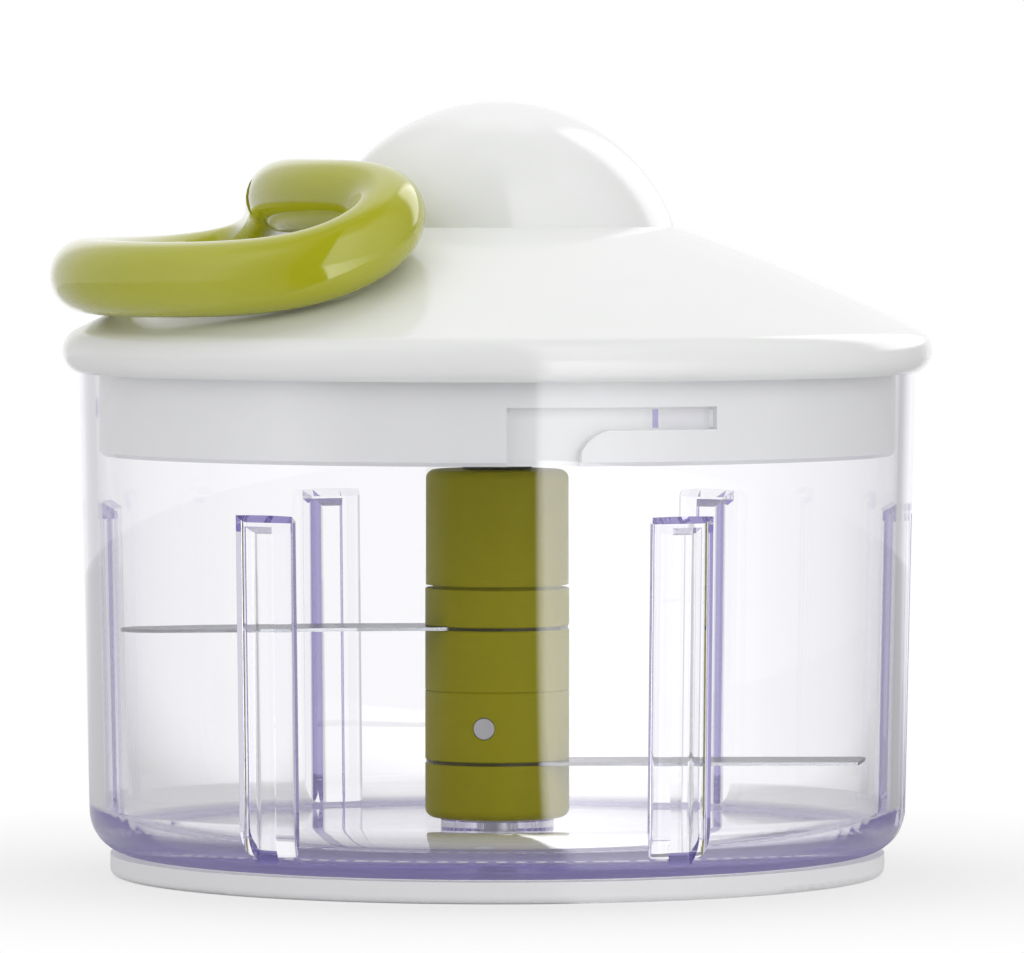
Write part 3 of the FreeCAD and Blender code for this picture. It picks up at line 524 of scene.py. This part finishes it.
def add_cord():
    """Cord from the winding through the eyelet to the knot. On the real chopper it runs out as the handle
    is pulled; here it stays fixed.
    """
    cord_low, cord_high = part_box("pull_cord")
    eyelet_low, eyelet_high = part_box("cord_eyelet")
    level = (cord_low.z + cord_high.z) / 2
    outlet = eyelet_low.x
    handle_near = cord_low.x + 2 * HANDLE_TUBE - POCKET_DEPTH
    winding = Vector((cord_high.x - CORD_RADIUS, cord_high.y - CORD_RADIUS, level))
    mouth = Vector((eyelet_high.x, 0, level))
    route = [winding, winding.lerp(mouth, 0.5), mouth, Vector((outlet, 0, level))]
    stretch = 30
    for k in range(stretch + 1):
        route.append(Vector((outlet + (handle_near - outlet) * k / stretch, 0, level)))
    route.append(Vector((cord_low.x, 0, level)))
    curve = bpy.data.curves.new("cord", "CURVE")
    curve.dimensions = "3D"
    curve.bevel_depth = CORD_RADIUS
    curve.bevel_resolution = 5
    curve.use_fill_caps = True
    spline = curve.splines.new("NURBS")
    spline.points.add(len(route) - 1)
    for point, place in zip(spline.points, route):
        point.co = (*place, 1)
    spline.order_u = 3
    spline.use_endpoint_u = True
    spline.resolution_u = 2
    cord = add_object("drawn_cord", mesh_of("drawn_cord", curve), None, "cord_fabric", "pull_cord")
    cord.data.shade_smooth()
    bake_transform(cord)


# ---------------------------------------------------------------- floor, light and world
FLOOR_RADIUS = 0.9
FLOOR_FADE = (0.058, 0.15)     # the floor turns into plain white between these distances
FLOOR_GLOW = 0.6               # the share of plain white under the object
FLOOR_COLOUR = 0.8
FILL = 0.35                    # light of the world on the object
# What gloss and clear plastic show of the studio, by degrees from the front towards +X.
WALLS = [(-180, 1.0), (-168, 1.0), (-158, 0.7), (-130, 0.7), (-95, 0.9), (-60, 1.2), (-32, 0.5),
         (-18, 0.3), (-12, 0.08), (10, 0.05), (12, 1.8), (30, 1.7), (55, 1.1), (80, 0.9),
         (115, 0.35), (150, 0.45), (163, 1.0), (180, 1.0)]
TABLE = [(-180, 1.0), (-168, 1.0), (-158, 0.6), (-120, 0.5), (-95, 0.6), (-60, 0.8), (-30, 0.5),
         (-18, 0.3), (-12, 0.05), (10, 0.05), (12, 3.8), (28, 3.0), (55, 1.4), (80, 0.8),
         (115, 0.35), (150, 0.45), (163, 1.0), (180, 1.0)]
PEAK = 4.0
OVERHEAD = 0.3                 # the share of it that is left straight above
SIDE_FILL = 0.30               # what the sides add to it
SIDE_BOX = 1.6                 # radiance of a box far right of the object, in plain reflections
BOX_SIDE = (0.25, 0.32)        # parts of a direction between which that box sets in: to the right,
BOX_BEHIND = (0.5, 0.6)        # behind,
BOX_FOOT = (0.10, 0.16)        # above its lower edge
BOX_TOP = (0.72, 0.78)         # and up to its top
BEHIND_GLASS = 0.62            # least radiance of the studio through both walls of the bowl
WALLS_PASSED = 3.5             # bounces, after which a path has passed through both
ZENITH = (0.85, 0.96)          # height of a direction between which OVERHEAD sets in


def seen_by_gloss(tree):
    path = tree.add("LightPath")
    return tree.math("MAXIMUM", path.outputs["Is Glossy Ray"], path.outputs["Is Transmission Ray"])


def side_box(tree, direction):
    """What the box far right of the object adds to plain reflections."""
    x, y, z = tree.parts(direction)
    rightward = tree.ramp(x, 0.0, 1.0, *BOX_SIDE)
    behind = tree.ramp(y, 0.0, 1.0, *BOX_BEHIND)
    above = tree.ramp(z, 0.0, 1.0, *BOX_FOOT)
    below = tree.ramp(z, 1.0, 0.0, *BOX_TOP)
    window = tree.math("MULTIPLY", tree.math("MULTIPLY", rightward, behind),
                       tree.math("MULTIPLY", above, below))
    path = tree.add("LightPath")
    reflected = tree.math("SUBTRACT", 1.0, path.outputs["Is Transmission Ray"])
    return tree.math("MULTIPLY", tree.math("MULTIPLY", window, reflected), SIDE_BOX)


def seen_through(tree, radiance):
    """Radiance of the studio, with a least value where it shows through both walls of the bowl."""
    path = tree.add("LightPath")
    walls = tree.math("GREATER_THAN", path.outputs["Ray Depth"], WALLS_PASSED)
    passed = tree.math("MULTIPLY", path.outputs["Is Transmission Ray"], walls)
    return tree.math("MAXIMUM", radiance, tree.math("MULTIPLY", passed, BEHIND_GLASS))


def studio(tree, place, profile):
    """Brightness of the studio in the direction of a place: white right behind the object, a
    bright strip right of the camera, a weaker one left of it and a dark gap between them."""
    x, y, _ = tree.parts(place)
    turn = tree.math("ARCTAN2", x, tree.math("MULTIPLY", y, -1.0))
    curve = tree.nodes.new("ShaderNodeFloatCurve")
    points = curve.mapping.curves[0].points
    while len(points) < len(profile):
        points.new(0.5, 0.5)
    for point, (degrees, radiance) in zip(points, profile):
        point.location = ((degrees + 180) / 360, radiance / PEAK)
        point.handle_type = "VECTOR"
    curve.mapping.update()
    tree.join(tree.ramp(turn, 0, 1, -math.pi, math.pi), curve.inputs["Value"])
    return tree.math("MULTIPLY", curve.outputs["Value"], PEAK)


def add_floor():
    mesh = bpy.data.meshes.new("floor")
    shape = bmesh.new()
    bmesh.ops.create_circle(shape, cap_ends=True, segments=96, radius=FLOOR_RADIUS)
    shape.to_mesh(mesh)
    shape.free()
    floor = bpy.data.objects.new("floor", mesh)
    bpy.context.collection.objects.link(floor)
    material = bpy.data.materials.new("floor")
    tree = Tree(material)
    matt = tree.add("BsdfDiffuse")
    matt.inputs["Color"].default_value = (*[FLOOR_COLOUR] * 3, 1)
    far = tree.ramp(tree.length(tree.position()), FLOOR_GLOW, 1.0, *FLOOR_FADE)
    gloss = seen_by_gloss(tree)
    camera = tree.add("LightPath").outputs["Is Camera Ray"]
    light = tree.add("Emission")
    mirrored = tree.math("MULTIPLY", gloss, seen_through(tree, studio(tree, tree.position(), TABLE)))
    tree.join(tree.math("MAXIMUM", camera, mirrored), light.inputs["Strength"])
    glowing = tree.math("MULTIPLY", far, tree.math("MAXIMUM", camera, gloss))
    tree.close(tree.mix_shader(glowing, matt.outputs["BSDF"], light.outputs["Emission"]))
    mesh.materials.append(material)


def add_world():
    world = bpy.data.worlds.new("studio")
    bpy.context.scene.world = world
    tree = Tree(world)
    background = tree.add("Background")
    background.inputs["Color"].default_value = (1, 1, 1, 1)
    direction = tree.add("TexCoord").outputs["Generated"]
    x, _, z = tree.parts(direction)
    overhead = tree.ramp(z, 1.0, OVERHEAD, *ZENITH)
    mirrored = tree.math("MULTIPLY", studio(tree, direction, WALLS), overhead)
    mirrored = tree.math("ADD", seen_through(tree, mirrored), side_box(tree, direction))
    path = tree.add("LightPath")
    seen = tree.math("MAXIMUM", path.outputs["Is Camera Ray"],
                     tree.math("MULTIPLY", seen_by_gloss(tree), mirrored))
    sides = tree.math("MULTIPLY", tree.math("ABSOLUTE", x), SIDE_FILL)
    fill = tree.math("MULTIPLY", path.outputs["Is Diffuse Ray"], tree.math("ADD", sides, FILL))
    tree.join(tree.math("MAXIMUM", seen, fill), background.inputs["Strength"])
    tree.close(background.outputs["Background"], kind="OutputWorld")


# Name, radiance, degrees from the front towards +X, degrees up, distance, width, height.
SOFTBOXES = [("softbox_right", 1.38, 36, 18, 0.9, 0.8, 0.7),
             ("softbox_left", 0.75, -46, 18, 0.9, 0.8, 0.7),
             ("softbox_top", 1.75, 180, 75, 0.8, 0.9, 0.7)]
LAMP_AIM = (0, 0, 0.06)


def add_softbox(name, radiance, swing, rise, distance, width, height):
    """Rectangular lamp at an angle from the front towards +X, facing the object."""
    data = bpy.data.lights.new(name, "AREA")
    data.shape = "RECTANGLE"
    data.size = width
    data.size_y = height
    data.energy = radiance * math.pi * width * height
    lamp = bpy.data.objects.new(name, data)
    lamp.visible_glossy = False
    lamp.visible_transmission = False
    lamp.visible_camera = False
    turn, lift = math.radians(swing), math.radians(rise)
    aim = Vector(LAMP_AIM)
    away = Vector((math.sin(turn) * math.cos(lift), -math.cos(turn) * math.cos(lift), math.sin(lift)))
    lamp.location = aim + away * distance
    lamp.rotation_euler = away.to_track_quat("Z", "Y").to_euler()
    bpy.context.collection.objects.link(lamp)


BOUNCES = 24                   # enough for light that runs along inside the bowl's wall

bpy.context.scene.view_settings.view_transform = "Standard"
for limit in ("max_bounces", "transmission_bounces", "glossy_bounces"):
    setattr(bpy.context.scene.cycles, limit, BOUNCES)
add_camera()
dress_solids()
add_bowl()
add_foot()
add_spring()
add_handle()
add_cord()
add_floor()
add_world()
for softbox in SOFTBOXES:
    add_softbox(*softbox)
